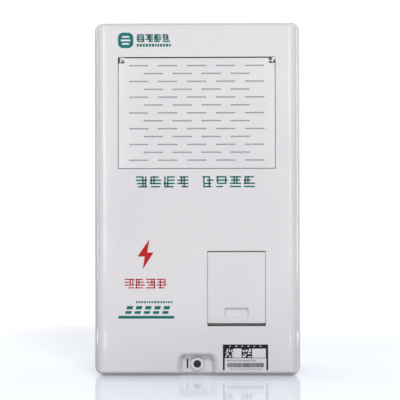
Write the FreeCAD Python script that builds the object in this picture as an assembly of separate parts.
"""Prepaid single-phase electricity meter in its moulded wall box.

A plastic back box holds a meter on a mounting plate, a two-pole breaker on a rail and an earth bar.
A domed front cover hangs on two hinges at the top and is held by one sealing screw at the bottom.
The cover carries a large flap over the meter's window and a small flap over the breaker.

Millimetres. X runs to the right as one faces the box, Y runs from the front towards the wall, Z runs up.
The origin is the middle of the box's bottom.
"""

import FreeCAD, Part
import math
import os

V = FreeCAD.Vector

# ---------------------------------------------------------------- driving dimensions: the box
BOX_W = 225.0
BOX_H = 386.0
BOX_D = 115.0
COVER_WALL = 2.5
BASE_WALL = 3.0
BACK_WALL = 3.5
FLANGE_STEP = 4.0  # the flange stands out this far round the dome
FLANGE_R = 9.0
DOME_DEPTH = 20.0
SKIRT_DEPTH = 10.0  # how far the cover's skirt reaches back over the base
SKIRT_GAP = 0.5
SEAL_T = 2.0
SHOULDER_R = 8.0  # long vertical edges of the dome
TOP_EDGE_R = 3.0
DOME_CORNER_R = 7.0
FOOT_T = 4.0  # thickness of the ribs that the base stands on

# ---------------------------------------------------------------- clearances and pins
RUN = 0.05  # radial, pin turning in a bore
TIGHT = 0.02  # radial, pin or screw held in a hole
TURN = 0.05  # axial, between faces that turn on each other
GAP = 0.3  # between pieces that sit in each other
PIN_R = 1.0
HINGE_PIN_R = 1.5

# ---------------------------------------------------------------- window flap, on the cover's front
WINDOW_W = 171.0
WINDOW_H = 121.5
WINDOW_TOP = 39.5  # down from the top of the flange
WINDOW_GAP = 0.8
WINDOW_TOP_GAP = 1.0
FLAP_T = 2.2
BARREL_R = 3.0
FLAP_CORNER_R = 0.8
FLAP_TOP_R = 1.4  # lets the top edge swing inside its gap
LUG_T = 1.8
LUG_GAP = 2.2  # open slot on the outer side of each lug
LUG_IN_GAP = 3.0  # open slot on its inner side
LUG_R = 2.6
LUG_STEM_FRONT = 1.5  # the stem stands this far in front of the pin, clear of the raised flap
LEDGE = 2.0
FRAME_T = 2.0
FRAME_DEPTH = 7.0
PANE_T = 2.0
PANE_LIP = 11.0
PANE_SCREW_IN = 5.5
DASH_L = 20.6
DASH_T = 1.5
DASH_DEPTH = 1.1
DASH_PITCH_X = 31.4
DASH_PITCH_Z = 8.55
DASH_MARGIN = 8.0  # least distance from a dash to the flap's side and foot
DASH_TOP_MARGIN = 8.0

# ---------------------------------------------------------------- breaker flap
BREAKER_WINDOW_W = 63.2
BREAKER_WINDOW_H = 81.4
BREAKER_WINDOW_X = 42.8
BREAKER_WINDOW_BOTTOM = 54.6
BREAKER_FLAP_GAP = 0.5
BREAKER_TOP_GAP = 0.9
FINGER_GAP = 3.5
SMALL_BARREL_R = 2.5
THUMB_W = 25.6
THUMB_H = 10.4
THUMB_DEPTH = 3.2
THUMB_UP = 6.0  # from the flap's bottom edge to the recess
POCKET_DEPTH = 12.0
POCKET_FLOOR_T = 2.0

# ---------------------------------------------------------------- sealing screw and its recess
RECESS_W = 41.0
RECESS_H = 20.6
RECESS_DEPTH = 12.0
RECESS_R = 7.0
RECESS_LEAN = 4.1  # each side wall comes in by this from the mouth to the floor
BOSS_R = 7.5
BOSS_DEPTH = 3.0
SCREW_UP = 9.0  # the screw's axis above the dome's bottom edge
SCREW_HEAD_R = 3.6
SCREW_HEAD_T = 3.4
SCREW_R = 2.9
SCREW_IN_INSERT = 8.0
INSERT_R = 4.5
INSERT_BORE_R = 3.3
INSERT_L = 12.0
WASHER_T = 1.0
POST_GAP = 1.5
SEAL_SLOT_X = -10.7
SEAL_SLOT_H = 10.4
SEAL_SLOT_T = 1.7

# ---------------------------------------------------------------- cover hinges
COVER_HINGE_X = 70.0
KNUCKLE_W = 10.0
EAR_W = 6.0
KNUCKLE_R = 3.5
KNUCKLE_BACK = 4.0  # the hinge line behind the skirt's edge

# ---------------------------------------------------------------- the meter
METER_W = 112.0
METER_H = 160.0
METER_D = 58.0
METER_BASE_D = 28.0
METER_WALL = 2.2
METER_R = 5.0
CASE_POST_R = 3.6
CASE_POST_IN = 8.5  # posts in from the meter's sides
METER_DROP = 4.0  # the meter's top below the window's top
METER_BEHIND_PANE = 2.5
TERMINAL_ZONE = 46.0
PLATE_T = 3.0
PLATE_W = 136.0
PLATE_H = 176.0
PLATE_POST_R = 6.0
BUTTON_R = 3.6
BUTTON_OUT = 1.4
BUTTON_TRAVEL = 0.8
BOARD_T = 1.6
CARD_SLOT_W = 58.0
CARD_SLOT_H = 2.4
TERMINAL_PITCH = 20.0
WIRE_R = 2.5
WIRE_BORE_R = 3.4

# ---------------------------------------------------------------- the breaker, its rail and the earth bar
BREAKER_W = 36.0
BREAKER_H = 82.0
NOSE_H = 45.0
NOSE_TO_RAIL = 60.0
SHOULDER_TO_RAIL = 44.0
NOSE_OUT = 0.8
NOSE_GAP = 0.8
TOGGLE_TILT = 25.0
TOGGLE_W = 25.0
TOGGLE_L = 12.0
TOGGLE_HUB_R = 6.0
POLE_PITCH = 18.0
RAIL_W = 35.0
RAIL_DEPTH = 7.5
RAIL_T = 1.0
RAIL_L = 84.0
CLIP_TRAVEL = 4.0
EARTH_BAR_L = 64.0
EARTH_BAR_T = 8.0
EARTH_BAR_X = -62.0
EARTH_BAR_Z = 42.0
EARTH_HOLES = 5

# ---------------------------------------------------------------- label, wall fixings, cable entries
LABEL_W = 48.9
LABEL_H = 27.8
LABEL_T = 0.2  # it lies flush in a shallow recess
LABEL_RIGHT = 35.7  # label's right edge in from the flange's side
LABEL_UP = 3.0  # label's bottom above the dome's bottom edge
WALL_HOLE_R = 3.25
WALL_HOLES_W = 176.0
WALL_HOLES_H = 330.0
GROMMET_X = 62.0
GROMMET_Y = 12.0
GROMMET_HOLE_R = 12.5
GROMMET_BORE_R = 7.0
GROMMET_EASE = 0.1  # the neck sits this far inside its hole

# ---------------------------------------------------------------- places that follow from them
Y_FACE = -BOX_D / 2
Y_WALL = BOX_D / 2
Y_FLANGE = Y_FACE + DOME_DEPTH
Y_WEB = Y_FLANGE + COVER_WALL
Y_SKIRT = Y_WEB + SKIRT_DEPTH
Y_EDGE = Y_WEB + SEAL_T
Y_BACK_IN = Y_WALL - BACK_WALL
Y_PANE = Y_FACE + COVER_WALL + FRAME_DEPTH
DOME_X = BOX_W / 2 - FLANGE_STEP
DOME_Z0 = FLANGE_STEP
DOME_Z1 = BOX_H - FLANGE_STEP
BASE_X = BOX_W / 2 - COVER_WALL - SKIRT_GAP
BASE_Z0 = COVER_WALL + SKIRT_GAP
BASE_Z1 = BOX_H - BASE_Z0
BASE_R = FLANGE_R - COVER_WALL - SKIRT_GAP

WIN_X = WINDOW_W / 2
WIN_Z1 = BOX_H - WINDOW_TOP
WIN_Z0 = WIN_Z1 - WINDOW_H
WIN_AXIS_Y = Y_FACE + BARREL_R
WIN_AXIS_Z = WIN_Z1 - WINDOW_TOP_GAP - BARREL_R
FLAP_X = WIN_X - WINDOW_GAP
LUG_X = WIN_X - LUG_GAP - LUG_T  # inner side of the lug
NOTCH_X = LUG_X - LUG_IN_GAP

BW_X0 = BREAKER_WINDOW_X - BREAKER_WINDOW_W / 2
BW_X1 = BREAKER_WINDOW_X + BREAKER_WINDOW_W / 2
BW_Z0 = BREAKER_WINDOW_BOTTOM
BW_Z1 = BW_Z0 + BREAKER_WINDOW_H
BW_AXIS_Y = Y_FACE + SMALL_BARREL_R
BW_AXIS_Z = BW_Z1 - BREAKER_TOP_GAP - SMALL_BARREL_R

SCREW_Z = DOME_Z0 + SCREW_UP
Y_RECESS = Y_FACE + RECESS_DEPTH
Y_BOSS = Y_RECESS - BOSS_DEPTH
Y_HEAD_SEAT = Y_RECESS + 1.0
Y_WASHER = Y_HEAD_SEAT - TURN
Y_HEAD = Y_WASHER - WASHER_T - TURN
Y_POST = Y_RECESS + COVER_WALL + POST_GAP

HINGE_Y = Y_SKIRT + KNUCKLE_BACK
HINGE_Z = BOX_H - KNUCKLE_R
HINGE_POCKET = KNUCKLE_W / 2 + 0.4 + EAR_W + 1.2  # half the width of the pocket in the base's top

METER_X = METER_W / 2
METER_Z1 = WIN_Z1 - METER_DROP
METER_Z0 = METER_Z1 - METER_H
METER_Y0 = Y_PANE + PANE_T + METER_BEHIND_PANE
METER_Y1 = METER_Y0 + METER_D
METER_JOINT_Y = METER_Y1 - METER_BASE_D
METER_COVER_Z0 = METER_Z0 + TERMINAL_ZONE
CASE_POST_X = METER_X - CASE_POST_IN
DISPLAY_X = 47.0
DISPLAY_Z1 = METER_Z1 - 8.0
DISPLAY_Z0 = DISPLAY_Z1 - 58.0
LCD_X = 34.0
LCD_Z1 = DISPLAY_Z1 - 8.0
LCD_Z0 = LCD_Z1 - 34.0
CONTROL_Z = DISPLAY_Z0 - 11.0
CARD_Z = CONTROL_Z - 21.0
BUTTON_XS = (26.0, 40.0)
LED_XS = (-42.0, -30.0, -18.0)
LED_R = 1.5
BOARD_Y = METER_Y0 + 16.0
BOARD_Z0 = CARD_Z + 7.0
BOARD_Z1 = METER_Z1 - 7.0
BOARD_X = METER_X - METER_WALL - 0.8
TERMINAL_Y = METER_Y0 + 34.0
TERMINAL_XS = tuple(TERMINAL_PITCH * k for k in (-1.5, -0.5, 0.5, 1.5))
BLOCK_Y0 = METER_Y0 + 14.0
BLOCK_Z1 = METER_Z0 + 42.0
PLATE_Z0 = METER_Z0 - 6.0
PLATE_Z1 = PLATE_Z0 + PLATE_H
PLATE_Y1 = METER_Y1 + PLATE_T
PLATE_POSTS = [(x, z) for x in (-PLATE_W / 2 + 7, PLATE_W / 2 - 7) for z in (PLATE_Z0 + 8, PLATE_Z1 - 8)]

BREAKER_X = BREAKER_WINDOW_X
BREAKER_Z = (BW_Z0 + BW_Z1) / 2
Y_POCKET = Y_FACE + POCKET_DEPTH
Y_NOSE = Y_POCKET - NOSE_OUT
Y_RAIL = Y_NOSE + NOSE_TO_RAIL
Y_SHOULDER = Y_RAIL - SHOULDER_TO_RAIL
Y_BREAKER_BACK = Y_RAIL + 6.0
TOGGLE_Y = Y_NOSE + 4.0
POLE_XS = (BREAKER_X - POLE_PITCH / 2, BREAKER_X + POLE_PITCH / 2)
POLE_Y = Y_SHOULDER + 12.0
RAIL_POSTS = (BREAKER_X - RAIL_L / 2 + 6, BREAKER_X + RAIL_L / 2 - 6)
EARTH_Y0 = 20.0
EARTH_POSTS = (EARTH_BAR_X - EARTH_BAR_L / 2 + 6, EARTH_BAR_X + EARTH_BAR_L / 2 - 6)

# ---------------------------------------------------------------- shape helpers
PLANES = {
    "x": lambda u, v, w: V(w, u, v),
    "y": lambda u, v, w: V(u, w, v),
    "z": lambda u, v, w: V(u, v, w),
}


def rounded_edges(corners, radii, closed=True):
    """Straight edges between corners, with a tangent arc of the given radius at each corner."""
    turns = []
    last = len(corners) - 1
    for i, corner in enumerate(corners):
        if radii[i] == 0 or (not closed and i in (0, last)):
            turns.append((corner, None, corner))
            continue
        back = (corners[i - 1] - corner).normalize()
        ahead = (corners[(i + 1) % len(corners)] - corner).normalize()
        half = back.getAngle(ahead) / 2
        middle = (back + ahead).normalize()
        centre = corner + middle * (radii[i] / math.sin(half))
        setback = radii[i] / math.tan(half)
        turns.append((corner + back * setback, centre - middle * radii[i], corner + ahead * setback))
    edges = []
    for i, (start, mid, end) in enumerate(turns):
        if mid is not None:
            edges.append(Part.Arc(start, mid, end).toShape())
        if closed or i < last:
            following = turns[(i + 1) % len(turns)][0]
            if (following - end).Length > 1e-6:
                edges.append(Part.makeLine(end, following))
    return edges


def prism(axis, outline, lo, hi, radii=0):
    """An outline in the plane across the axis, extruded from lo to hi along it."""
    at = PLANES[axis]
    corners = [at(u, v, lo) for u, v in outline]
    if not isinstance(radii, (list, tuple)):
        radii = [radii] * len(corners)
    face = Part.Face(Part.Wire(rounded_edges(corners, radii)))
    return face.extrude(at(0, 0, hi) - at(0, 0, lo))


def rectangle(a0, a1, b0, b1):
    return [(a0, b0), (a1, b0), (a1, b1), (a0, b1)]


def slab(x0, x1, y0, y1, z0, z1, radii=0):
    """A block with its four edges along Y rounded: lower left, lower right, upper right, upper left."""
    return prism("y", rectangle(x0, x1, z0, z1), y0, y1, radii)


def rod(axis, r, u, v, lo, hi):
    at = PLANES[axis]
    return Part.makeCylinder(r, hi - lo, at(u, v, lo), at(0, 0, 1))


def fuse(*shapes):
    return shapes[0].multiFuse(list(shapes[1:])).removeSplitter()


def cut(shape, *tools):
    return shape.cut(Part.makeCompound(list(tools)))


def round_front_edges(shape, y, r):
    """Rounds every edge that lies in the plane at this y."""
    edges = [e for e in shape.Edges if all(abs(v.Y - y) < 1e-6 for v in e.Vertexes)]
    return shape.makeFillet(r, edges)


def mirrored(shape):
    return shape.mirror(V(0, 0, 0), V(1, 0, 0))


def pan_screw(axis_x, axis_z, y_seat, head_r, head_t, shank_r, length, faces_front=True):
    """A cross-recess screw along Y: the head's underside at y_seat, its shank going the other way."""
    out = -1 if faces_front else 1
    top = y_seat + out * head_t
    tip = y_seat - out * length
    bottom = top - out * head_t * 0.5
    head = rod("y", head_r, axis_x, axis_z, min(y_seat, top), max(y_seat, top))
    head = round_front_edges(head, top, head_t * 0.35)
    shank = rod("y", shank_r, axis_x, axis_z, min(y_seat, tip), max(y_seat, tip))
    arm = head_r * 0.55
    slot = head_r * 0.14
    y0 = min(top, bottom)
    y1 = max(top, bottom)
    across = slab(axis_x - arm, axis_x + arm, y0, y1, axis_z - slot, axis_z + slot)
    upright = slab(axis_x - slot, axis_x + slot, y0, y1, axis_z - arm, axis_z + arm)
    return cut(fuse(head, shank), across, upright)


# ---------------------------------------------------------------- front cover
def dome(inset, back):
    """The domed front, shrunk by inset: a plan, a side and a front outline, common to all three."""
    x = DOME_X - inset
    z0 = DOME_Z0 + inset
    z1 = DOME_Z1 - inset
    y = Y_FACE + inset
    side_r = SHOULDER_R - inset
    edge_r = max(TOP_EDGE_R - inset, 0.5)
    plan = prism("z", rectangle(-x, x, y, back), z0, z1, [side_r, side_r, 0, 0])
    side = prism("x", rectangle(y, back, z0, z1), -x, x, [edge_r, 0, 0, edge_r])
    front = slab(-x, x, y, back, z0, z1, DOME_CORNER_R - inset)
    return plan.common(side).common(front)


def flange():
    ring = slab(-BOX_W / 2, BOX_W / 2, Y_FLANGE, Y_SKIRT, 0, BOX_H, FLANGE_R)
    return round_front_edges(ring, Y_FLANGE, COVER_WALL)


def skirt_cavity():
    x = BOX_W / 2 - COVER_WALL
    return slab(-x, x, Y_WEB, Y_SKIRT + 1, COVER_WALL, BOX_H - COVER_WALL, FLANGE_R - COVER_WALL)


def frame_tunnel(x0, x1, z0, z1, y1):
    """The wall that runs back from the edge of an opening in the cover."""
    outer = slab(x0 - FRAME_T, x1 + FRAME_T, Y_FACE + COVER_WALL, y1, z0 - FRAME_T, z1 + FRAME_T)
    return cut(outer, slab(x0, x1, Y_FACE, y1 + 1, z0, z1))


def side_ledges(x0, x1, z0, z1):
    """Two strips inside a tunnel that the closed flap rests on."""
    y0 = Y_FACE + FLAP_T + GAP
    left = slab(x0 - 0.5, x0 + LEDGE, y0, y0 + LEDGE, z0, z1)
    right = slab(x1 - LEDGE, x1 + 0.5, y0, y0 + LEDGE, z0, z1)
    return [left, right]


def window_lug():
    """Stands in the notch at the flap's right top corner and carries its pin."""
    eye = rod("x", LUG_R, WIN_AXIS_Y, WIN_AXIS_Z, LUG_X, LUG_X + LUG_T)
    stem_y = WIN_AXIS_Y - LUG_STEM_FRONT
    stem = Part.makeBox(LUG_T, LUG_STEM_FRONT + LUG_R, WIN_Z1 + 1 - WIN_AXIS_Z, V(LUG_X, stem_y, WIN_AXIS_Z))
    hole = rod("x", PIN_R + TIGHT, WIN_AXIS_Y, WIN_AXIS_Z, LUG_X - 1, LUG_X + LUG_T + 1)
    return cut(fuse(eye, stem), hole)


def pane_screw_places():
    x = WIN_X + PANE_SCREW_IN
    return [(sx, z) for sx in (-x, x) for z in (WIN_Z0 - PANE_SCREW_IN, WIN_Z1 + PANE_SCREW_IN)]


def recess_outline(grow, y):
    """The recess seen from the front at depth y: its walls lean in towards the floor."""
    lean = RECESS_LEAN * (y - Y_FACE) / RECESS_DEPTH
    half = RECESS_W / 2 - lean + grow
    z1 = DOME_Z0 + RECESS_H - lean / 2 + grow
    r = RECESS_R - lean / 2 + grow
    outline = rectangle(-half, half, DOME_Z0 - 1, z1)
    face = prism("y", outline, y, y + 1, [0, 0, r, r])
    return min(face.Faces, key=lambda f: f.CenterOfMass.y).OuterWire


def tapered_recess(grow, y0, y1):
    return Part.makeLoft([recess_outline(grow, y0), recess_outline(grow, y1)], True, True)


def lock_recess_outer():
    return tapered_recess(COVER_WALL, Y_FACE, Y_RECESS + COVER_WALL)


def lock_recess_inner():
    """The open recess, with a soft edge where it meets the front face."""
    pocket = tapered_recess(0, Y_FACE, Y_RECESS)
    soft = 1.6
    mouth = slab(
        -RECESS_W / 2 - soft, RECESS_W / 2 + soft, Y_FACE - 1, Y_FACE + soft, DOME_Z0 - 1,
        DOME_Z0 + RECESS_H + soft, [0, 0, RECESS_R + soft, RECESS_R + soft],
    )
    edges = [
        e for e in mouth.Edges
        if all(abs(v.Y - Y_FACE - soft) < 1e-6 for v in e.Vertexes)
        and any(v.Z > DOME_Z0 for v in e.Vertexes)
    ]
    return fuse(pocket, mouth.makeChamfer(soft - 0.01, edges))


def cover_knuckle(x):
    half = KNUCKLE_W / 2
    barrel = rod("x", KNUCKLE_R, HINGE_Y, HINGE_Z, x - half, x + half)
    corner = V(x - half, Y_SKIRT - 1, BOX_H - COVER_WALL)
    web = Part.makeBox(KNUCKLE_W, HINGE_Y - Y_SKIRT + 1, COVER_WALL, corner)
    hole = rod("x", HINGE_PIN_R + RUN, HINGE_Y, HINGE_Z, x - half - 1, x + half + 1)
    return cut(fuse(barrel, web), hole)


def front_cover():
    body = fuse(dome(0, Y_WEB), flange())
    body = cut(body, dome(COVER_WALL, Y_WEB + 1), skirt_cavity())
    body = cut(body, slab(-WIN_X, WIN_X, Y_FACE - 1, Y_FACE + COVER_WALL + 1, WIN_Z0, WIN_Z1, FLAP_CORNER_R))
    body = cut(body, slab(BW_X0, BW_X1, Y_FACE - 1, Y_FACE + COVER_WALL + 1, BW_Z0, BW_Z1, FLAP_CORNER_R))
    pocket_y = Y_POCKET + POCKET_FLOOR_T
    ledge_y = Y_FACE + FLAP_T + GAP
    solids = [
        frame_tunnel(-WIN_X, WIN_X, WIN_Z0, WIN_Z1, Y_PANE),
        frame_tunnel(BW_X0, BW_X1, BW_Z0, BW_Z1, pocket_y),
        slab(BW_X0, BW_X1, Y_POCKET, pocket_y, BW_Z0, BW_Z1),
        slab(-WIN_X, WIN_X, ledge_y, ledge_y + LEDGE, WIN_Z0 - 0.5, WIN_Z0 + LEDGE),
        *side_ledges(-WIN_X, WIN_X, WIN_Z0, WIN_AXIS_Z - 3 * BARREL_R),
        *side_ledges(BW_X0, BW_X1, BW_Z0 + FINGER_GAP, BW_AXIS_Z - 3 * SMALL_BARREL_R),
        window_lug(),
        mirrored(window_lug()),
        lock_recess_outer().common(dome(0, Y_WEB)),
        cover_knuckle(COVER_HINGE_X),
        cover_knuckle(-COVER_HINGE_X),
    ]
    for x, z in pane_screw_places():
        solids.append(rod("y", 4.0, x, z, Y_FACE + COVER_WALL - 0.5, Y_PANE))
    body = fuse(body, *solids)
    boss = rod("y", BOSS_R, 0, SCREW_Z, Y_BOSS, Y_RECESS + 1)
    body = fuse(cut(body, lock_recess_inner()), round_front_edges(boss, Y_BOSS, 1.2))
    nose_x = BREAKER_W / 2 + NOSE_GAP
    nose_z = NOSE_H / 2 + NOSE_GAP
    slot_x = SEAL_SLOT_X - SEAL_SLOT_T / 2
    slot_z = SCREW_Z - SEAL_SLOT_H / 2
    behind_y = Y_RECESS + COVER_WALL + 1
    cuts = [
        rod("y", SCREW_HEAD_R + 0.6, 0, SCREW_Z, Y_BOSS - 1, Y_HEAD_SEAT),
        rod("y", SCREW_R + GAP, 0, SCREW_Z, Y_BOSS, behind_y),
        slab(
            slot_x, slot_x + SEAL_SLOT_T, Y_RECESS - 1, behind_y,
            slot_z, slot_z + SEAL_SLOT_H, SEAL_SLOT_T * 0.45,
        ),
        slab(
            BREAKER_X - nose_x, BREAKER_X + nose_x, Y_POCKET - 1, pocket_y + 1,
            BREAKER_Z - nose_z, BREAKER_Z + nose_z, 1.0,
        ),
        rod("x", PIN_R + TIGHT, BW_AXIS_Y, BW_AXIS_Z, BW_X0 - FRAME_T - 1, BW_X1 + FRAME_T + 1),
        asset_label(),
    ]
    for x, z in pane_screw_places():
        cuts.append(rod("y", 1.5, x, z, Y_FACE + COVER_WALL, Y_PANE + 1))
    return cut(body, *cuts)


def window_pane():
    """Clear sheet behind the flap, cut away at the meter's buttons and card slot."""
    x = WIN_X + PANE_LIP
    pane = slab(-x, x, Y_PANE, Y_PANE + PANE_T, WIN_Z0 - PANE_LIP, WIN_Z1 + PANE_LIP, 4.0)
    cuts = [rod("y", 1.7, px, pz, Y_PANE - 1, Y_PANE + PANE_T + 1) for px, pz in pane_screw_places()]
    reach = CARD_SLOT_W / 2 + 6
    cuts.append(slab(-reach, reach, Y_PANE - 1, Y_PANE + PANE_T + 1, CARD_Z - 9, CARD_Z + 9, 6.0))
    b0 = BUTTON_XS[0] - 8
    b1 = BUTTON_XS[1] + 8
    cuts.append(slab(b0, b1, Y_PANE - 1, Y_PANE + PANE_T + 1, CONTROL_Z - 7, CONTROL_Z + 7, 6.0))
    return cut(pane, *cuts)


def pane_screws():
    seat = Y_PANE + PANE_T
    screws = [pan_screw(x, z, seat, 3.0, 1.8, 1.45, 7.0, faces_front=False) for x, z in pane_screw_places()]
    return Part.makeCompound(screws)


def asset_label():
    x1 = BOX_W / 2 - LABEL_RIGHT
    z0 = DOME_Z0 + LABEL_UP
    return slab(x1 - LABEL_W, x1, Y_FACE, Y_FACE + LABEL_T, z0, z0 + LABEL_H, 0.8)


# ---------------------------------------------------------------- flaps
def flap_body(x0, x1, z0, axis_y, axis_z, r):
    """A flat flap with a barrel along its top edge, flat in front and round behind."""
    plate = slab(x0, x1, Y_FACE, Y_FACE + FLAP_T, z0, axis_z, [FLAP_CORNER_R, FLAP_CORNER_R, 0, 0])
    barrel = rod("x", r, axis_y, axis_z, x0, x1)
    front = prism("x", rectangle(Y_FACE, axis_y, axis_z, axis_z + r), x0, x1, [0, 0, 0, FLAP_TOP_R])
    return fuse(plate, barrel, front)


def window_flap():
    z0 = WIN_Z0 + WINDOW_GAP
    flap = flap_body(-FLAP_X, FLAP_X, z0, WIN_AXIS_Y, WIN_AXIS_Z, BARREL_R)
    notch_z = WIN_AXIS_Z - LUG_R - GAP
    bore = rod("x", PIN_R + RUN, WIN_AXIS_Y, WIN_AXIS_Z, NOTCH_X - 16, NOTCH_X + 1)
    notch = slab(NOTCH_X, FLAP_X + 1, Y_FACE - 1, Y_FACE + 3 * BARREL_R, notch_z, WIN_Z1)
    cuts = [bore, notch, mirrored(bore), mirrored(notch)]
    top = WIN_AXIS_Z + BARREL_R
    rows = 1 + int((top - z0 - DASH_MARGIN - DASH_TOP_MARGIN) / DASH_PITCH_Z)
    columns = 1 + int((2 * (FLAP_X - DASH_MARGIN) - DASH_L) / DASH_PITCH_X)
    for row in range(rows):
        count = columns - row % 2
        z = (z0 + top) / 2 + (row - (rows - 1) / 2) * DASH_PITCH_Z
        for k in range(count):
            x = (k - (count - 1) / 2) * DASH_PITCH_X
            dash = rectangle(x - DASH_L / 2, x + DASH_L / 2, z - DASH_T / 2, z + DASH_T / 2)
            cuts.append(prism("y", dash, Y_FACE - 1, Y_FACE + DASH_DEPTH))
    return cut(flap, *cuts)


def window_flap_pins():
    pin = rod("x", PIN_R, WIN_AXIS_Y, WIN_AXIS_Z, NOTCH_X - 15, LUG_X + LUG_T)
    return Part.makeCompound([pin, mirrored(pin)])


def breaker_flap():
    x0 = BW_X0 + BREAKER_FLAP_GAP
    x1 = BW_X1 - BREAKER_FLAP_GAP
    z0 = BW_Z0 + FINGER_GAP
    flap = flap_body(x0, x1, z0, BW_AXIS_Y, BW_AXIS_Z, SMALL_BARREL_R)
    xm = (x0 + x1) / 2
    thumb_z0 = z0 + THUMB_UP
    thumb_z1 = thumb_z0 + THUMB_H
    wall = 1.2
    backing = slab(
        xm - THUMB_W / 2 - wall, xm + THUMB_W / 2 + wall, Y_FACE + 1, Y_FACE + THUMB_DEPTH + wall,
        thumb_z0 - wall, thumb_z1 + wall, 2.0,
    )
    # The recess is deepest at its top and rises to the surface at its foot.
    ramp = [
        (Y_FACE - 1, thumb_z0), (Y_FACE + 0.3, thumb_z0), (Y_FACE + THUMB_DEPTH, thumb_z1 - 3.5),
        (Y_FACE + THUMB_DEPTH, thumb_z1), (Y_FACE - 1, thumb_z1),
    ]
    hollow = prism("x", ramp, xm - THUMB_W / 2, xm + THUMB_W / 2)
    hollow = hollow.common(
        slab(xm - THUMB_W / 2, xm + THUMB_W / 2, Y_FACE - 1, Y_FACE + THUMB_DEPTH, thumb_z0, thumb_z1, 2.0)
    )
    bore = rod("x", PIN_R + RUN, BW_AXIS_Y, BW_AXIS_Z, x0 - 1, x1 + 1)
    return cut(fuse(flap, backing), hollow, bore)


def breaker_flap_pin():
    return rod("x", PIN_R, BW_AXIS_Y, BW_AXIS_Z, BW_X0 - FRAME_T, BW_X1 + FRAME_T)


# ---------------------------------------------------------------- sealing screw
def lock_screw():
    seat = Y_HEAD
    top = seat - SCREW_HEAD_T
    head = round_front_edges(rod("y", SCREW_HEAD_R, 0, SCREW_Z, top, seat), top, 0.8)
    shank = rod("y", SCREW_R, 0, SCREW_Z, seat, Y_POST + SCREW_IN_INSERT)
    shank = shank.makeChamfer(0.8, [e for e in shank.Edges if all(v.Y > Y_POST for v in e.Vertexes)])
    # three-sided key socket
    r = SCREW_HEAD_R * 0.62
    corners = [math.radians(a) for a in (90, 210, 330)]
    socket = [(r * math.cos(a), SCREW_Z + r * math.sin(a)) for a in corners]
    seal_hole = rod("x", 0.7, top + 1.4, SCREW_Z, -SCREW_HEAD_R - 1, SCREW_HEAD_R + 1)
    return cut(fuse(head, shank), prism("y", socket, top - 1, top + SCREW_HEAD_T * 0.6), seal_hole)


def lock_washer():
    disc = rod("y", SCREW_HEAD_R + 0.2, 0, SCREW_Z, Y_WASHER - WASHER_T, Y_WASHER)
    return cut(disc, rod("y", SCREW_R + RUN, 0, SCREW_Z, Y_HEAD_SEAT - 2 * WASHER_T, Y_HEAD_SEAT + 1))


def lock_insert():
    bush = rod("y", INSERT_R, 0, SCREW_Z, Y_POST, Y_POST + INSERT_L)
    return cut(bush, rod("y", INSERT_BORE_R, 0, SCREW_Z, Y_POST - 1, Y_POST + INSERT_L + 1))


# ---------------------------------------------------------------- back box
def hinge_block(x):
    """Closed box under the base's top wall that the hinge pocket is sunk into."""
    half = HINGE_POCKET + BASE_WALL
    depth = KNUCKLE_R + 1.0 + BASE_WALL
    z0 = HINGE_Z - depth
    return Part.makeBox(2 * half, 2 * depth, BASE_Z1 - z0, V(x - half, HINGE_Y - depth, z0))


def hinge_pocket(x):
    room = KNUCKLE_R + 1.0
    corner = V(x - HINGE_POCKET, HINGE_Y - room, HINGE_Z - room)
    return Part.makeBox(2 * HINGE_POCKET, 2 * room, 2 * room, corner)


def hinge_ears(x):
    ears = []
    for side in (-1, 1):
        a = x + side * (KNUCKLE_W / 2 + 0.4)
        b = a + side * EAR_W
        lo = min(a, b)
        eye = rod("x", KNUCKLE_R, HINGE_Y, HINGE_Z, lo, lo + EAR_W)
        corner = V(lo, HINGE_Y - KNUCKLE_R, HINGE_Z - KNUCKLE_R - 1.5)
        foot = Part.makeBox(EAR_W, 2 * KNUCKLE_R, KNUCKLE_R + 1.5, corner)
        hole = rod("x", HINGE_PIN_R + TIGHT, HINGE_Y, HINGE_Z, lo - 1, lo + EAR_W + 1)
        ears.append(cut(fuse(eye, foot), hole))
    return ears


def side_vents():
    """Rows of narrow slots through both side walls, high and low."""
    slots = []
    for z in (40.0, BOX_H - 92.0):
        for k in range(6):
            slot = rectangle(-6, 30, z + 9 * k, z + 9 * k + 1.8)
            slots.append(prism("x", slot, BASE_X - BASE_WALL - 1, BASE_X + 1, 0.85))
    return slots + [mirrored(s) for s in slots]


def wall_hole_places():
    return [
        (x, z)
        for x in (-WALL_HOLES_W / 2, WALL_HOLES_W / 2)
        for z in (BOX_H / 2 - WALL_HOLES_H / 2, BOX_H / 2 + WALL_HOLES_H / 2)
    ]


def lock_post():
    half = INSERT_R + 3.5
    z1 = SCREW_Z + half
    clear = DOME_Z0 + COVER_WALL + 0.7
    side = [
        (Y_POST, clear), (Y_EDGE + 0.5, clear), (Y_EDGE + 0.5, BASE_Z0 + 1),
        (Y_POST + INSERT_L + 22, BASE_Z0 + 1), (Y_POST + INSERT_L + 2, z1), (Y_POST, z1),
    ]
    return prism("x", side, -half, half)


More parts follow.
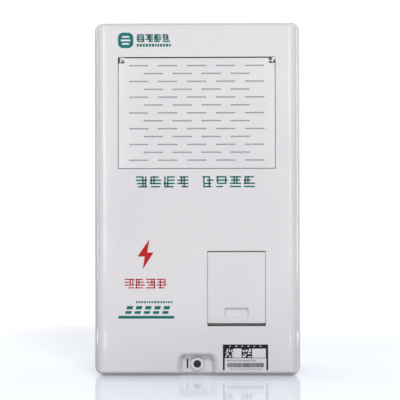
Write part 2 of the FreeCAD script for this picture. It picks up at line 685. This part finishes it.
def back_box():
    body = slab(-BASE_X, BASE_X, Y_EDGE, Y_WALL, BASE_Z0, BASE_Z1, BASE_R)
    body = round_front_edges(body, Y_WALL, 2.5)
    x = BASE_X - BASE_WALL
    hollow = slab(-x, x, Y_EDGE - 1, Y_BACK_IN, BASE_Z0 + BASE_WALL, BASE_Z1 - BASE_WALL, BASE_R - BASE_WALL)
    body = cut(body, hollow)
    solids = [hinge_block(COVER_HINGE_X), hinge_block(-COVER_HINGE_X), lock_post()]
    for px, pz in PLATE_POSTS:
        solids.append(rod("y", PLATE_POST_R, px, pz, PLATE_Y1, Y_BACK_IN + 1))
    for px in RAIL_POSTS:
        solids.append(rod("y", 6.5, px, BREAKER_Z, Y_RAIL + RAIL_DEPTH, Y_BACK_IN + 1))
    for px in EARTH_POSTS:
        solids.append(rod("y", 5.0, px, EARTH_BAR_Z, EARTH_Y0 + EARTH_BAR_T, Y_BACK_IN + 1))
    for px, pz in wall_hole_places():
        solids.append(rod("y", 8.0, px, pz, Y_BACK_IN - 2.5, Y_BACK_IN + 1))
    foot_y0 = Y_SKIRT + 5
    for px in (-BASE_X + 14, -30.0, 30.0, BASE_X - 14):
        corner = V(px - FOOT_T / 2, foot_y0, 0)
        solids.append(Part.makeBox(FOOT_T, Y_WALL - 4 - foot_y0, BASE_Z0 + 0.5, corner))
    body = fuse(body, *solids)
    cuts = [hinge_pocket(COVER_HINGE_X), hinge_pocket(-COVER_HINGE_X), *side_vents()]
    cuts.append(rod("y", INSERT_R + TIGHT, 0, SCREW_Z, Y_POST - 1, Y_POST + INSERT_L))
    for px, pz in PLATE_POSTS:
        cuts.append(rod("y", 1.75, px, pz, PLATE_Y1 - 1, PLATE_Y1 + 14))
    for px in RAIL_POSTS:
        cuts.append(rod("y", 1.75, px, BREAKER_Z, Y_RAIL + RAIL_DEPTH - 1, Y_RAIL + RAIL_DEPTH + 12))
    for px in EARTH_POSTS:
        cuts.append(rod("y", 1.75, px, EARTH_BAR_Z, EARTH_Y0, EARTH_Y0 + EARTH_BAR_T + 12))
    for px, pz in wall_hole_places():
        cuts.append(rod("y", WALL_HOLE_R, px, pz, Y_BACK_IN - 4, Y_WALL + 1))
    for px in (-GROMMET_X, GROMMET_X):
        cuts.append(rod("z", GROMMET_HOLE_R, px, GROMMET_Y, BASE_Z0 - 1, BASE_Z0 + BASE_WALL + 1))
    body = cut(body, *cuts)
    ears = hinge_ears(COVER_HINGE_X) + hinge_ears(-COVER_HINGE_X)
    return fuse(body, *ears)


def cover_hinge_pins():
    half = KNUCKLE_W / 2 + 0.4 + EAR_W
    return Part.makeCompound([
        rod("x", HINGE_PIN_R, HINGE_Y, HINGE_Z, x - half, x + half) for x in (-COVER_HINGE_X, COVER_HINGE_X)
    ])


def cover_seal():
    """Foam strip on the base's front edge; the cover presses on it."""
    y0 = Y_WEB + GAP
    x = BASE_X - 0.2
    inner = BASE_X - BASE_WALL - 0.4
    ring = slab(-x, x, y0, Y_EDGE, BASE_Z0 + 0.2, BASE_Z1 - 0.2, BASE_R - 0.2)
    hole = slab(
        -inner, inner, y0 - 1, Y_EDGE + 1, BASE_Z0 + BASE_WALL + 0.4, BASE_Z1 - BASE_WALL - 0.4,
        BASE_R - BASE_WALL - 0.4,
    )
    return cut(ring, hole)


def cable_grommet(x):
    z0 = BASE_Z0 - 2.2
    z1 = BASE_Z0 + BASE_WALL + 2.5
    outer = rod("z", GROMMET_HOLE_R + 3.5, x, GROMMET_Y, z0, BASE_Z0)
    neck = rod("z", GROMMET_HOLE_R - GROMMET_EASE, x, GROMMET_Y, z0, z1)
    inner = rod("z", GROMMET_HOLE_R + 2.0, x, GROMMET_Y, BASE_Z0 + BASE_WALL, z1)
    return cut(fuse(outer, neck, inner), rod("z", GROMMET_BORE_R, x, GROMMET_Y, z0 - 1, z1 + 1))


# ---------------------------------------------------------------- meter mounting
def mounting_plate():
    plate = slab(-PLATE_W / 2, PLATE_W / 2, METER_Y1, PLATE_Y1, PLATE_Z0, PLATE_Z1, 5.0)
    cuts = [rod("y", 2.1, x, z, METER_Y1 - 1, PLATE_Y1 + 1) for x, z in PLATE_POSTS]
    for x in (-28.0, 0.0, 28.0):
        cuts.append(slab(x - 8, x + 8, METER_Y1 - 1, PLATE_Y1 + 1, METER_Z0 + 34, METER_Z0 + 116, 5.0))
    for x, z in meter_fixing_places():
        cuts.append(rod("y", 1.9, x, z, METER_Y1 - 1, PLATE_Y1 + 1))
    return cut(plate, *cuts)


def plate_screws():
    return Part.makeCompound([pan_screw(x, z, METER_Y1, 3.6, 2.2, 1.7, 12.0) for x, z in PLATE_POSTS])


def meter_fixing_places():
    low = METER_Z0 + 8
    return [(0.0, METER_Z1 + 5.0), (-METER_X + 6.5, low), (METER_X - 6.5, low)]


def meter_base():
    """The meter's rear tray, with a hanging lug at its top."""
    tray = slab(-METER_X, METER_X, METER_JOINT_Y, METER_Y1, METER_Z0, METER_Z1, METER_R)
    x = METER_X - METER_WALL
    hollow = slab(
        -x, x, METER_JOINT_Y - 1, METER_Y1 - METER_WALL,
        METER_Z0 + METER_WALL, METER_Z1 - METER_WALL, METER_R - METER_WALL,
    )
    tray = cut(tray, hollow)
    lug = slab(-8, 8, METER_Y1 - 3, METER_Y1, METER_Z1 - 2, METER_Z1 + 10, [0, 0, 6, 6])
    shelf = slab(-x, x, METER_JOINT_Y, METER_Y1 - 1, METER_COVER_Z0 - 2, METER_COVER_Z0)
    wire_door = slab(-40, 40, METER_JOINT_Y - 1, TERMINAL_Y + 6, METER_Z0 - 1, METER_Z0 + METER_WALL + 1)
    holes = [rod("y", 1.9, px, pz, METER_JOINT_Y, METER_Y1 + 1) for px, pz in meter_fixing_places()]
    posts = []
    for px, pz in meter_cover_screw_places() + terminal_cover_screw_places():
        posts.append(rod("y", CASE_POST_R, px, pz, METER_JOINT_Y, METER_Y1 - 1))
        holes.append(rod("y", 1.65, px, pz, METER_JOINT_Y - 1, METER_JOINT_Y + 14))
    return cut(fuse(tray, lug, shelf, *posts), wire_door, *holes)


def meter_fixing_screws():
    screws = []
    for i, (x, z) in enumerate(meter_fixing_places()):
        seat = METER_Y1 - 3 if i == 0 else METER_Y1 - METER_WALL
        screws.append(pan_screw(x, z, seat, 3.4, 2.2, 1.7, METER_Y1 + PLATE_T + 4 - seat))
    return Part.makeCompound(screws)


def meter_cover():
    """Front shell over the display, buttons and card slot."""
    z0 = METER_COVER_Z0
    shell = slab(-METER_X, METER_X, METER_Y0, METER_JOINT_Y, z0, METER_Z1, [1.0, 1.0, METER_R, METER_R])
    shell = round_front_edges(shell, METER_Y0, 0.9)
    x = METER_X - METER_WALL
    y_in = METER_Y0 + METER_WALL
    shell = cut(shell, slab(-x, x, y_in, METER_JOINT_Y + 1, z0 + METER_WALL, METER_Z1 - METER_WALL, 1.5))
    mouth = [
        (METER_Y0 - 1, CARD_Z - 5), (METER_Y0 + METER_WALL, CARD_Z - CARD_SLOT_H / 2),
        (METER_Y0 + METER_WALL, CARD_Z + CARD_SLOT_H / 2), (METER_Y0 - 1, CARD_Z + 5),
    ]
    sleeve_x = CARD_SLOT_W / 2 + 2
    sleeve = slab(-sleeve_x, sleeve_x, METER_Y0 + 1, y_in + 0.8, CARD_Z - 4, CARD_Z + 4)
    cuts = [
        slab(-DISPLAY_X, DISPLAY_X, METER_Y0 - 1, METER_Y0 + 1.2, DISPLAY_Z0, DISPLAY_Z1, 2.0),
        slab(-DISPLAY_X + 2, DISPLAY_X - 2, METER_Y0 - 1, y_in + 1, DISPLAY_Z0 + 2, DISPLAY_Z1 - 2, 1.5),
        prism("x", mouth, -CARD_SLOT_W / 2, CARD_SLOT_W / 2),
        slab(
            -CARD_SLOT_W / 2, CARD_SLOT_W / 2, METER_Y0, METER_Y0 + METER_WALL + 2,
            CARD_Z - CARD_SLOT_H / 2, CARD_Z + CARD_SLOT_H / 2,
        ),
    ]
    cuts += [rod("y", BUTTON_R + 0.25, x, CONTROL_Z, METER_Y0 - 1, y_in + 1) for x in BUTTON_XS]
    cuts += [rod("y", LED_R + 0.05, x, CONTROL_Z, METER_Y0 - 1, y_in + 1) for x in LED_XS]
    bosses = []
    for px, pz in board_screw_places():
        bosses.append(rod("y", 2.6, px, pz, METER_Y0 + METER_WALL - 0.5, BOARD_Y))
        cuts.append(rod("y", 1.25, px, pz, METER_Y0 + METER_WALL + 4, BOARD_Y + 1))
    for px, pz in meter_cover_screw_places():
        bosses.append(rod("y", CASE_POST_R, px, pz, METER_Y0 + 1, METER_JOINT_Y))
        cuts.append(rod("y", 1.8, px, pz, METER_Y0 - 1, METER_JOINT_Y + 1))
        cuts.append(rod("y", 3.4, px, pz, METER_Y0 - 1, METER_Y0 + 2.4))
    return cut(fuse(shell, sleeve, *bosses), *cuts)


def meter_cover_screw_places():
    z = METER_COVER_Z0 + 8.0
    return [(-CASE_POST_X, z), (CASE_POST_X, z)]


def case_screws(places, y_seat):
    """Long screws that hold a shell of the meter to its rear tray."""
    length = METER_JOINT_Y + 10 - y_seat
    return Part.makeCompound([pan_screw(x, z, y_seat, 3.1, 1.9, 1.6, length) for x, z in places])


def meter_cover_screws():
    return case_screws(meter_cover_screw_places(), METER_Y0 + 2.4)


def meter_window():
    x = DISPLAY_X - 0.15
    return slab(-x, x, METER_Y0, METER_Y0 + 1.2, DISPLAY_Z0 + 0.15, DISPLAY_Z1 - 0.15, 1.9)


def meter_faceplate():
    """Printed sheet behind the clear insert, open over the display."""
    x = DISPLAY_X - 2.5
    y0 = METER_Y0 + 1.2
    sheet = slab(-x, x, y0, y0 + 0.8, DISPLAY_Z0 + 2.5, DISPLAY_Z1 - 2.5, 1.2)
    return cut(sheet, slab(-LCD_X + 2, LCD_X - 2, y0 - 1, y0 + 2, LCD_Z0 + 2, LCD_Z1 - 2, 1.0))


def lcd_panel():
    return slab(-LCD_X, LCD_X, METER_Y0 + 2.4, METER_Y0 + 5.2, LCD_Z0, LCD_Z1, 0.5)


def lcd_backlight():
    tray = slab(-LCD_X - 1, LCD_X + 1, METER_Y0 + 5.2, METER_Y0 + 9.0, LCD_Z0 - 1, LCD_Z1 + 1, 1.0)
    legs = [
        slab(x - 1.5, x + 1.5, METER_Y0 + 9.0, BOARD_Y, z - 1.5, z + 1.5)
        for x in (-LCD_X + 3, LCD_X - 3) for z in (LCD_Z0 + 3, LCD_Z1 - 3)
    ]
    return fuse(tray, *legs)


def board_screw_places():
    return [(x, z) for x in (-BOARD_X + 3.2, BOARD_X - 3.2) for z in (BOARD_Z0 + 4, BOARD_Z1 - 4)]


def circuit_board():
    board = slab(-BOARD_X, BOARD_X, BOARD_Y, BOARD_Y + BOARD_T, BOARD_Z0, BOARD_Z1, 2.0)
    holes = [rod("y", 1.6, x, z, BOARD_Y - 1, BOARD_Y + BOARD_T + 1) for x, z in board_screw_places()]
    return cut(board, *holes)


def board_screws():
    seat = BOARD_Y + BOARD_T
    screws = [pan_screw(x, z, seat, 2.5, 1.6, 1.2, 7.0, faces_front=False) for x, z in board_screw_places()]
    return Part.makeCompound(screws)


def board_chips():
    y0 = BOARD_Y + BOARD_T
    chips = [
        slab(-8, 4, y0, y0 + 1.6, LCD_Z0 + 4, LCD_Z0 + 16),
        slab(12, 20, y0, y0 + 1.4, LCD_Z0 + 6, LCD_Z0 + 12),
        slab(26, 32, y0, y0 + 1.4, LCD_Z0 + 14, LCD_Z0 + 19),
    ]
    return Part.makeCompound(chips)


def card_reader():
    """Connector that the prepayment card slides into."""
    half = CARD_SLOT_W / 2 + 1.5
    y0 = METER_Y0 + METER_WALL + 0.8
    body = slab(-half, half, y0, y0 + 36, CARD_Z - 4, CARD_Z + 4, 1.0)
    return cut(body, slab(-CARD_SLOT_W / 2, CARD_SLOT_W / 2, y0 - 1, y0 + 33, CARD_Z - 0.6, CARD_Z + 0.6))


def button_switches():
    y0 = METER_Y0 + 11.0
    switches = []
    for x in BUTTON_XS:
        can = slab(x - 3, x + 3, y0 + 2, BOARD_Y, CONTROL_Z - 3, CONTROL_Z + 3, 0.5)
        stem = rod("y", 1.7, x, CONTROL_Z, y0 + BUTTON_TRAVEL + GAP, y0 + 2)
        switches.append(fuse(can, stem))
    return Part.makeCompound(switches)


def meter_button(x):
    cap = rod("y", BUTTON_R, x, CONTROL_Z, METER_Y0 - BUTTON_OUT, METER_Y0 + 3.6)
    cap = round_front_edges(cap, METER_Y0 - BUTTON_OUT, 0.7)
    collar = rod("y", BUTTON_R + 1.2, x, CONTROL_Z, METER_Y0 + METER_WALL + GAP, METER_Y0 + 3.6)
    stem = rod("y", 1.6, x, CONTROL_Z, METER_Y0 + 3.6, METER_Y0 + 11.0)
    return fuse(cap, collar, stem)


def status_leds():
    leds = []
    for x in LED_XS:
        lens = rod("y", LED_R, x, CONTROL_Z, METER_Y0 - 0.4, METER_Y0 + 6.0)
        holder = rod("y", LED_R + 0.6, x, CONTROL_Z, METER_Y0 + 6.0, BOARD_Y)
        leds.append(fuse(round_front_edges(lens, METER_Y0 - 0.4, 0.8), holder))
    return Part.makeCompound(leds)


def board_part(x, z, w, h, depth, r=1.0):
    """A block soldered to the rear of the circuit board."""
    y0 = BOARD_Y + BOARD_T
    return slab(x - w / 2, x + w / 2, y0, y0 + depth, z - h / 2, z + h / 2, r)


def latching_relay():
    return board_part(-33, LCD_Z0 + 4, 30, 28, 20)


def supply_transformer():
    return board_part(34, LCD_Z0 - 10, 26, 22, 20)


def filter_capacitors():
    y0 = BOARD_Y + BOARD_T
    return Part.makeCompound([rod("y", 5.0, x, BOARD_Z1 - 12, y0, y0 + 18) for x in (14.0, 27.0)])


def backup_battery():
    z = BOARD_Z1 - 12
    y = BOARD_Y + BOARD_T + 7.2
    return rod("x", 7.2, y, z, -44, -19)


# ---------------------------------------------------------------- meter terminals
def terminal_block():
    half = TERMINAL_PITCH * 2 + 3
    z0 = METER_Z0 + 4
    block = slab(-half, half, BLOCK_Y0, METER_Y1 - METER_WALL, z0, BLOCK_Z1, 1.5)
    cuts = [shunt_bar(METER_Y1 - METER_WALL - 1, METER_Y1, 0.1)]
    for x in TERMINAL_XS:
        cuts.append(slab(x - 6, x + 6, TERMINAL_Y - 7, TERMINAL_Y + 7, z0 + 7, z0 + 31))
        cuts.append(rod("z", WIRE_BORE_R, x, TERMINAL_Y, z0 - 1, z0 + 8))
        cuts += [rod("y", 3.3, x, z, BLOCK_Y0 - 1, TERMINAL_Y) for z in terminal_screw_heights()]
    return cut(block, *cuts)


def terminal_screw_heights():
    return (METER_Z0 + 17.0, METER_Z0 + 29.0)


def terminal_clamps():
    clamps = []
    z0 = METER_Z0 + 11.2
    for x in TERMINAL_XS:
        clamp = slab(x - 5.8, x + 5.8, TERMINAL_Y - 6.8, TERMINAL_Y + 6.8, z0, z0 + 23.6, 0.8)
        holes = [rod("y", 2.5, x, z, TERMINAL_Y - 8, TERMINAL_Y) for z in terminal_screw_heights()]
        clamps.append(cut(clamp, rod("z", WIRE_BORE_R, x, TERMINAL_Y, z0 - 1, z0 + 20), *holes))
    return Part.makeCompound(clamps)


def terminal_screws():
    screws = []
    for x in TERMINAL_XS:
        for z in terminal_screw_heights():
            screws.append(pan_screw(x, z, TERMINAL_Y - 6.8, 3.0, 2.6, 2.4, 3.2))
    return Part.makeCompound(screws)


def current_shunt():
    """Resistance strip that joins the two live clamps behind the block."""
    y0 = METER_Y1 - METER_WALL - 1
    return shunt_bar(y0, y0 + 0.9, 0)


def shunt_bar(y0, y1, grow):
    x0 = TERMINAL_XS[0] - 4 - grow
    x1 = TERMINAL_XS[1] + 4 + grow
    return slab(x0, x1, y0, y1, METER_Z0 + 16 - grow, METER_Z0 + 26 + grow, 1.0)


def terminal_cover():
    x = METER_X - 0.5
    z0 = METER_Z0
    z1 = METER_COVER_Z0 - 0.3
    y0 = METER_Y0 + 1.0
    shell = slab(-x, x, y0, METER_JOINT_Y, z0, z1, [METER_R, METER_R, 1.0, 1.0])
    shell = round_front_edges(shell, y0, 0.9)
    shell = cut(shell, slab(-x + 2, x - 2, y0 + 2, METER_JOINT_Y + 1, z0 + 2, z1 - 2, 2.0))
    cuts = [slab(-40, 40, y0 + 14, METER_JOINT_Y + 1, z0 - 1, z0 + 3)]
    bosses = []
    for px, pz in terminal_cover_screw_places():
        bosses.append(rod("y", CASE_POST_R, px, pz, y0 + 1, METER_JOINT_Y))
        cuts.append(rod("y", 1.8, px, pz, y0 - 1, METER_JOINT_Y + 1))
        cuts.append(rod("y", 3.4, px, pz, y0 - 1, y0 + 2.4))
    return cut(fuse(shell, *bosses), *cuts)


def terminal_cover_screw_places():
    z = METER_Z0 + 24.0
    return [(-CASE_POST_X, z), (CASE_POST_X, z)]


def terminal_cover_screws():
    return case_screws(terminal_cover_screw_places(), METER_Y0 + 3.4)


# ---------------------------------------------------------------- breaker, rail, earth bar
def din_rail():
    """Top-hat rail: brim towards the breaker, crown against the posts."""
    y0 = Y_RAIL
    y1 = Y_RAIL + RAIL_DEPTH
    half = RAIL_W / 2
    inner = half - 5.0
    t = RAIL_T
    side = [
        (y0, -half), (y0 + t, -half), (y0 + t, -inner - t), (y1, -inner - t),
        (y1, inner + t), (y0 + t, inner + t), (y0 + t, half), (y0, half),
        (y0, inner), (y1 - t, inner), (y1 - t, -inner), (y0, -inner),
    ]
    side = [(y, BREAKER_Z + z) for y, z in side]
    rail = prism("x", side, BREAKER_X - RAIL_L / 2, BREAKER_X + RAIL_L / 2)
    return cut(rail, *[rod("y", 2.1, x, BREAKER_Z, y0, y1 + 1) for x in RAIL_POSTS])


def rail_screws():
    seat = Y_RAIL + RAIL_DEPTH - RAIL_T
    return Part.makeCompound([pan_screw(x, BREAKER_Z, seat, 3.6, 2.2, 1.7, 10.0) for x in RAIL_POSTS])


def breaker_case():
    h = BREAKER_H / 2
    n = NOSE_H / 2
    slot = RAIL_W / 2 + GAP
    hook = Y_RAIL + RAIL_T + GAP
    side = [
        (Y_NOSE, -n), (Y_SHOULDER, -n), (Y_SHOULDER, -h), (Y_BREAKER_BACK, -h), (Y_BREAKER_BACK, -slot),
        (Y_RAIL - 0.1, -slot), (Y_RAIL - 0.1, slot), (hook, slot), (hook, slot - 2.4),
        (Y_BREAKER_BACK, slot - 2.4), (Y_BREAKER_BACK, h), (Y_SHOULDER, h), (Y_SHOULDER, n), (Y_NOSE, n),
    ]
    side = [(y, BREAKER_Z + z) for y, z in side]
    x0 = BREAKER_X - BREAKER_W / 2
    x1 = BREAKER_X + BREAKER_W / 2
    case = prism("x", side, x0, x1)
    slot_x = TOGGLE_W / 2 + 0.5
    slot_z = TOGGLE_HUB_R + 1
    cuts = [
        slab(
            BREAKER_X - slot_x, BREAKER_X + slot_x, Y_NOSE - 1, TOGGLE_Y + TOGGLE_HUB_R + 0.6,
            BREAKER_Z - slot_z, BREAKER_Z + slot_z,
        ),
        # guide for the rail clip
        slab(
            BREAKER_X - 8.3, BREAKER_X + 8.3, Y_RAIL + RAIL_T, Y_BREAKER_BACK + 1,
            BREAKER_Z - h - 1, BREAKER_Z - slot + 1,
        ),
    ]
    for x in POLE_XS:
        for side_sign in (-1, 1):
            z_end = BREAKER_Z + side_sign * h
            lo = min(z_end + side_sign, z_end - side_sign * 14)
            cuts.append(rod("z", 3.2, x, POLE_Y, lo, lo + 15))
            cuts.append(rod("y", 3.2, x, BREAKER_Z + side_sign * (h - 8), Y_SHOULDER - 1, Y_SHOULDER + 7))
    # seam lines between the two poles and round the nose
    for z0, z1 in ((-h - 1, -n), (n, h + 1)):
        cuts.append(slab(
            BREAKER_X - 0.25, BREAKER_X + 0.25, Y_SHOULDER - 1, Y_SHOULDER + 0.6,
            BREAKER_Z + z0, BREAKER_Z + z1,
        ))
    return cut(case, *cuts)


def breaker_terminal_screws():
    screws = []
    for x in POLE_XS:
        for z in (BREAKER_Z - BREAKER_H / 2 + 8, BREAKER_Z + BREAKER_H / 2 - 8):
            screws.append(pan_screw(x, z, Y_SHOULDER + 6, 2.9, 2.4, 1.8, 0.9))
    return Part.makeCompound(screws)


def breaker_toggle():
    """Handle tied across both poles, standing in its upper position."""
    half = TOGGLE_W / 2
    hub = rod("x", TOGGLE_HUB_R, TOGGLE_Y, BREAKER_Z, BREAKER_X - half, BREAKER_X + half)
    lever = [
        (TOGGLE_Y, BREAKER_Z - 3.2), (TOGGLE_Y, BREAKER_Z + 3.2), (TOGGLE_Y - TOGGLE_L, BREAKER_Z + 2.2),
        (TOGGLE_Y - TOGGLE_L, BREAKER_Z - 2.2),
    ]
    bar = prism("x", lever, BREAKER_X - half + 2, BREAKER_X + half - 2, [0, 0, 0.9, 0.9])
    bar.rotate(V(0, TOGGLE_Y, BREAKER_Z), V(1, 0, 0), -TOGGLE_TILT)
    bore = rod("x", PIN_R + RUN, TOGGLE_Y, BREAKER_Z, BREAKER_X - half - 1, BREAKER_X + half + 1)
    return cut(fuse(hub, bar), bore)


def toggle_pin():
    half = TOGGLE_W / 2 + 0.5
    return rod("x", PIN_R, TOGGLE_Y, BREAKER_Z, BREAKER_X - half, BREAKER_X + half)


def rail_clip():
    """Spring clip under the breaker; it is pulled down to free the case from the rail."""
    slot = RAIL_W / 2 + GAP
    z1 = BREAKER_Z - slot + 2.4
    z0 = BREAKER_Z - BREAKER_H / 2 - 2.0
    y0 = Y_RAIL + RAIL_T + GAP
    bar = slab(BREAKER_X - 8, BREAKER_X + 8, y0, y0 + 4.4, z0, z1, 0.8)
    return cut(bar, slab(BREAKER_X - 3, BREAKER_X + 3, y0 - 1, y0 + 6, z0 + 2, z0 + 5, 0.5))


def earth_bar():
    half = EARTH_BAR_L / 2
    t = EARTH_BAR_T
    x0 = EARTH_BAR_X - half
    x1 = EARTH_BAR_X + half
    bar = slab(x0, x1, EARTH_Y0, EARTH_Y0 + t, EARTH_BAR_Z - t / 2, EARTH_BAR_Z + t / 2, 0.8)
    cuts = [rod("y", 2.1, x, EARTH_BAR_Z, EARTH_Y0 - 1, EARTH_Y0 + t + 1) for x in EARTH_POSTS]
    for x in earth_hole_places():
        cuts.append(rod("z", 2.3, x, EARTH_Y0 + t / 2, EARTH_BAR_Z - t, EARTH_BAR_Z + t))
        cuts.append(rod("y", 1.7, x, EARTH_BAR_Z, EARTH_Y0 - 1, EARTH_Y0 + t / 2))
    return cut(bar, *cuts)


def earth_hole_places():
    pitch = (EARTH_BAR_L - 22) / (EARTH_HOLES - 1)
    return [EARTH_BAR_X + (k - (EARTH_HOLES - 1) / 2) * pitch for k in range(EARTH_HOLES)]


def earth_bar_screws():
    screws = [pan_screw(x, EARTH_BAR_Z, EARTH_Y0, 3.4, 2.2, 1.7, EARTH_BAR_T + 9) for x in EARTH_POSTS]
    screws += [pan_screw(x, EARTH_BAR_Z, EARTH_Y0 - 0.6, 2.6, 2.2, 1.6, 1.8) for x in earth_hole_places()]
    return Part.makeCompound(screws)


def link_wire(x0, x1):
    """Insulated wire from a meter terminal down into a breaker terminal, with arcs as large as fit."""
    z_exit = METER_Z0
    z_enter = BREAKER_Z + BREAKER_H / 2
    drop = z_exit - z_enter
    run = 0.3 * drop
    points = [
        V(x0, TERMINAL_Y, z_exit + 14), V(x0, TERMINAL_Y, z_exit - run),
        V(x1, POLE_Y, z_enter + run), V(x1, POLE_Y, z_enter - 10),
    ]
    turn = (points[1] - points[0]).getAngle(points[2] - points[1])
    shorter = min((points[2] - points[1]).Length, run + 10)
    r = 0.45 * shorter / math.tan(turn / 2)
    path = Part.Wire(rounded_edges(points, [0, r, r, 0], closed=False))
    section = Part.Wire(Part.makeCircle(WIRE_R, points[0], V(0, 0, -1)))
    tube = path.makePipeShell([section], True, False)
    print("link wire: arc radius %.1f mm, length %.1f mm, volume ratio %.4f" % (
        r, path.Length, tube.Volume / (math.pi * WIRE_R ** 2 * path.Length)))
    return tube


NODES = {
    "back_box": back_box,
    "cover_seal": cover_seal,
    "cable_grommet_left": lambda: cable_grommet(-GROMMET_X),
    "cable_grommet_right": lambda: cable_grommet(GROMMET_X),
    "cover_hinge_pins": cover_hinge_pins,
    "lock_insert": lock_insert,
    "mounting_plate": mounting_plate,
    "plate_screws": plate_screws,
    "meter_base": meter_base,
    "meter_fixing_screws": meter_fixing_screws,
    "meter_cover": meter_cover,
    "meter_cover_screws": meter_cover_screws,
    "meter_window": meter_window,
    "meter_faceplate": meter_faceplate,
    "lcd_panel": lcd_panel,
    "lcd_backlight": lcd_backlight,
    "circuit_board": circuit_board,
    "board_screws": board_screws,
    "board_chips": board_chips,
    "latching_relay": latching_relay,
    "supply_transformer": supply_transformer,
    "filter_capacitors": filter_capacitors,
    "backup_battery": backup_battery,
    "card_reader": card_reader,
    "button_switches": button_switches,
    "meter_button_left": lambda: meter_button(BUTTON_XS[0]),
    "meter_button_right": lambda: meter_button(BUTTON_XS[1]),
    "status_leds": status_leds,
    "terminal_block": terminal_block,
    "terminal_clamps": terminal_clamps,
    "terminal_screws": terminal_screws,
    "current_shunt": current_shunt,
    "terminal_cover": terminal_cover,
    "terminal_cover_screws": terminal_cover_screws,
    "din_rail": din_rail,
    "rail_screws": rail_screws,
    "breaker_case": breaker_case,
    "breaker_terminal_screws": breaker_terminal_screws,
    "breaker_toggle": breaker_toggle,
    "toggle_pin": toggle_pin,
    "rail_clip": rail_clip,
    "earth_bar": earth_bar,
    "earth_bar_screws": earth_bar_screws,
    "live_link_wire": lambda: link_wire(TERMINAL_XS[1], POLE_XS[0]),
    "neutral_link_wire": lambda: link_wire(TERMINAL_XS[3], POLE_XS[1]),
    "front_cover": front_cover,
    "window_pane": window_pane,
    "pane_screws": pane_screws,
    "asset_label": asset_label,
    "window_flap": window_flap,
    "window_flap_pins": window_flap_pins,
    "breaker_flap": breaker_flap,
    "breaker_flap_pin": breaker_flap_pin,
    "lock_screw": lock_screw,
    "lock_washer": lock_washer,
}


def main():
    os.makedirs("parts", exist_ok=True)
    for name, make in NODES.items():
        shape = make()
        if not shape.isValid() or any(not s.isClosed() for s in shape.Shells):
            print("CHECK", name, "valid", shape.isValid())
        shape.exportStep("parts/%s.step" % name)
        print("%-26s solids %2d  volume %10.1f" % (name, len(shape.Solids), shape.Volume))


main()
